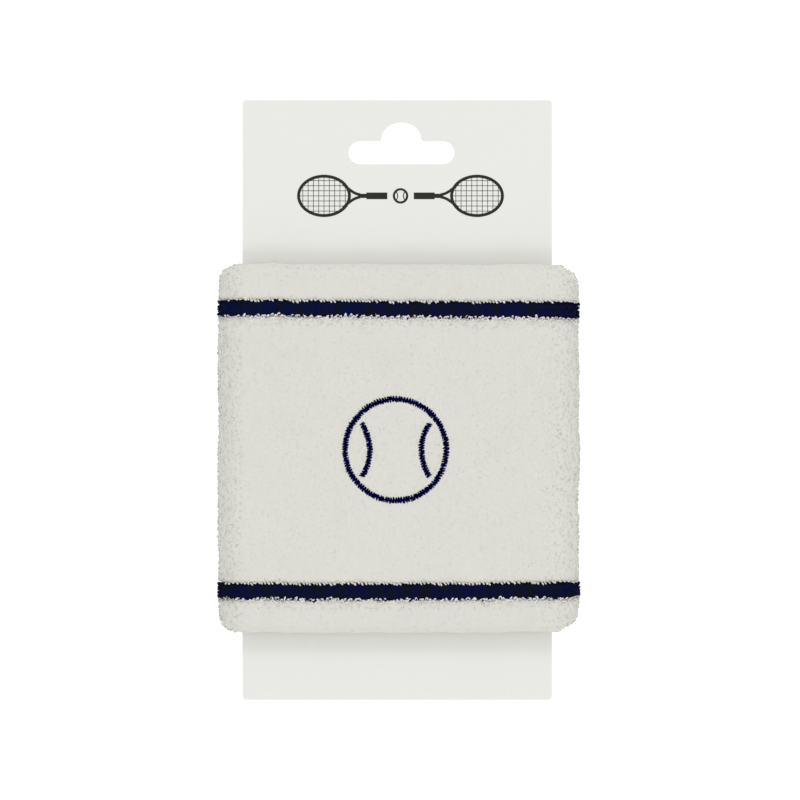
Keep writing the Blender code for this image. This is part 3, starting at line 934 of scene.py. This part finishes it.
def stroke(points, width, proud, closed=False):
    """A printed line of one width through (x, z) points, as a thin closed slab on the card's front."""
    points = np.asarray(points, float)
    if closed:
        before, after = np.roll(points, 1, 0), np.roll(points, -1, 0)
    else:
        before = np.concatenate([points[:1], points[:-1]])
        after = np.concatenate([points[1:], points[-1:]])
    tangent = after - before
    tangent /= np.linalg.norm(tangent, axis=1, keepdims=True)
    side = np.stack([-tangent[:, 1], tangent[:, 0]], -1) * width / 2
    front, back = CARD_FRONT - proud, CARD_FRONT + 0.01 * MM
    corners = [(points + side, front), (points - side, front), (points - side, back), (points + side, back)]
    rows = np.stack([np.stack([flat[:, 0], np.full(len(flat), y), flat[:, 1]], -1) for flat, y in corners])
    count = len(points)
    faces = grid_faces(4, count, open_columns=not closed)
    if not closed:
        ends = np.array([0, 1, 2, 3]) * count
        faces = np.concatenate([faces, [ends, ends[::-1] + count - 1]])
    return rows.reshape(-1, 3), faces, np.full(4 * count, 0.5)


def oval(x, z, half_x, half_z, steps=72, first=0.0, last=TURN):
    """Points along an oval, or along an arc of it."""
    angle = first + (last - first) * np.arange(steps) / (steps if closes(first, last) else steps - 1)
    return np.stack([x + half_x * np.cos(angle), z + half_z * np.sin(angle)], -1)


def make_print(material):
    """A plain pictogram: two rackets laid end to end, with a ball between their grips.

    Lines that cross lie at slightly different heights, so that no two of their faces coincide.
    """
    parts = []
    head_x, half_x, half_z = 17.3 * MM, 5.75 * MM, 4.45 * MM
    string, string_gap_x, string_gap_z = 0.13 * MM, 1.2 * MM, 1.15 * MM
    for side in (-1, 1):
        centre = PRINT_X + side * head_x
        parts.append(stroke(oval(centre, PRINT_Z, half_x, half_z), 0.68 * MM, INK, closed=True))
        for number in range(-4, 5):
            x = number * string_gap_x
            tall = half_z * math.sqrt(max(0.0, 1 - (x / half_x) ** 2))
            line = [[centre + x, PRINT_Z + z] for z in (-tall, 0, tall)]
            parts.append(stroke(line, string, INK - 0.006 * MM))
        for number in range(-3, 4):
            z = number * string_gap_z
            wide = half_x * math.sqrt(max(0.0, 1 - (z / half_z) ** 2))
            line = [[centre + x, PRINT_Z + z] for x in (-wide, 0, wide)]
            parts.append(stroke(line, string, INK - 0.009 * MM))
        for edge in (-1, 1):
            share = np.linspace(0, 1, 14)
            x = PRINT_X + side * (13.0 - 3.9 * share) * MM
            z = PRINT_Z + edge * (2.75 * (1 - share) ** 1.6 + 0.3 * share) * MM
            parts.append(stroke(np.stack([x, z], -1), 0.62 * MM, INK - 0.002 * MM))
        shaft = [[PRINT_X + side * x * MM, PRINT_Z] for x in np.linspace(9.6, 7.6, 4)]
        parts.append(stroke(shaft, 0.95 * MM, INK - 0.003 * MM))
        grip = [[PRINT_X + side * x * MM, PRINT_Z] for x in np.linspace(7.7, 3.0, 8)]
        parts.append(stroke(grip, 1.5 * MM, INK - 0.001 * MM))
    parts.append(stroke(oval(PRINT_X, PRINT_Z, 1.5 * MM, 1.5 * MM, 40), 0.5 * MM, INK, closed=True))
    for side, middle in ((-1, 0.0), (1, math.pi)):
        x, radius = PRINT_X + side * 2.1 * MM, 1.45 * MM
        line = oval(x, PRINT_Z, radius, radius, 12, middle - 0.75, middle + 0.75)
        parts.append(stroke(line, 0.22 * MM, INK - 0.004 * MM))
    return wear(new_mesh("card_print", *joined(parts), smooth=False), material, "card_board", "card")


# ---------------------------------------------------------------- stage, light and camera
CAMERA_DISTANCE = 1.2
CAMERA_ASIDE = 0.63 * MM  # how far right of the card's middle the camera looks
FLOOR_DROP = 1.05  # the card hangs this far over the floor
FLOOR_REACH = 8.0
FRAME_WIDTH = 0.18096  # what the picture spans at the card
SENSOR = 36.0


def add_camera():
    """A long lens, level and square to the card."""
    data = bpy.data.cameras.new("camera")
    data.sensor_width = SENSOR
    data.lens = SENSOR * CAMERA_DISTANCE / FRAME_WIDTH
    data.clip_start, data.clip_end = 0.01, 20.0
    camera = bpy.data.objects.new("camera", data)
    camera.location = (CARD_X + CAMERA_ASIDE, -CAMERA_DISTANCE, CARD_Z)
    camera.rotation_euler = (math.pi / 2, 0, 0)
    bpy.context.scene.collection.objects.link(camera)
    bpy.context.scene.camera = camera


# Softboxes: azimuth, elevation, distance, width, height, share, and the azimuth that the lit wall faces
LIGHTS = {
    "high": (0, 47, 2.2, 0.7, 0.50, 0.11, 0),
    "low": (0, -42, 1.45, 0.52, 0.46, 0.10, 0),
    "top": (0, 74, 2.4, 0.75, 0.6, 0.02, 0),
    "bottom": (0, -70, 1.05, 0.4, 0.3, 0.01, 0),
    "right": (62, 0, 1.7, 0.6, 0.5, 0.02, 0),
    "back_left": (225, 20, 1.8, 0.8, 0.8, 0.10, 180),
    "back_right": (135, 20, 1.8, 0.8, 0.8, 0.10, 180),
}


def add_light(name, azimuth, elevation, distance, width, height, share, facing):
    """A softbox round the band, azimuth 0 in front of it and 90 to its right.

    share is the light that it gives a wall facing azimuth facing, where 1 shows a white wall as white.
    """
    turn, rise = math.radians(azimuth), math.radians(elevation)
    out = Vector((math.sin(turn) * math.cos(rise), -math.cos(turn) * math.cos(rise), math.sin(rise)))
    slope = math.cos(math.radians(azimuth - facing)) * math.cos(rise)
    data = bpy.data.lights.new(name, "AREA")
    data.shape = "RECTANGLE"
    data.size, data.size_y = width, height
    data.energy = share * math.pi**2 * distance**2 / slope
    light = bpy.data.objects.new(name, data)
    light.location = Vector((BAND_X, 0.0, CARD_Z)) + distance * out
    light.rotation_euler = (-out).to_track_quat("-Z", "Y").to_euler()
    light.visible_camera = False
    bpy.context.scene.collection.objects.link(light)


def add_stage():
    """A wide, flat floor."""
    marks = np.linspace(-FLOOR_REACH, FLOOR_REACH, 9)
    count = len(marks)
    x, y = np.meshgrid(marks, marks)
    points = np.stack([x, y, np.full(x.shape, cad_low[2] - FLOOR_DROP)], -1).reshape(-1, 3)
    faces = grid_faces(count, count, open_rows=True, open_columns=True)[:, ::-1]
    floor = new_mesh("studio_floor", points, faces)
    floor.data.materials.append(floor_material())


def add_world(seen, given):
    """White behind the object, and an even, weaker light from all round."""
    world = bpy.data.worlds.new("studio")
    bpy.context.scene.world = world
    world.use_nodes = True
    tree = world.node_tree
    background = tree.nodes["Background"]
    path = tree.nodes.new("ShaderNodeLightPath")
    mix = tree.nodes.new("ShaderNodeMix")
    mix.data_type = "FLOAT"
    mix.inputs[2].default_value = given
    mix.inputs[3].default_value = seen
    tree.links.new(path.outputs["Is Camera Ray"], mix.inputs[0])
    tree.links.new(mix.outputs[0], background.inputs["Strength"])
    background.inputs["Color"].default_value = (1.0, 1.0, 1.0, 1.0)


# ---------------------------------------------------------------- build
add_camera()
add_world(seen=1.1, given=0.79)
for name, place in LIGHTS.items():
    add_light(name, *place)
add_stage()
bpy.context.scene.view_settings.view_transform = "Standard"

nodes = frame["nodes"]
for node, finish in (("header_card", board_material()), ("elastic_yarn", elastic_material())):
    nodes[node].data.materials.clear()
    nodes[node].data.materials.append(finish)

navy_low, navy_high = (0.0004, 0.0006, 0.020), (0.0008, 0.0012, 0.060)
navy_thread = thread_material("embroidery_rayon", navy_low, navy_high, 0.5, 0.04)
white_thread = thread_material("seam_cotton", (0.66, 0.65, 0.60), (0.80, 0.79, 0.74), 0.75, 0.25)

cloth, cloth_length = make_ground()
mats = [make_mat(name, *section) for name, section in SECTIONS.items()]
loops = make_loops()
seam = make_seam(white_thread)
stitches = [make_column(name, navy_thread, 40 + number) for number, name in enumerate(COLUMNS)]
backing, backing_radius = make_backing(felt_material())
make_print(ink_material())
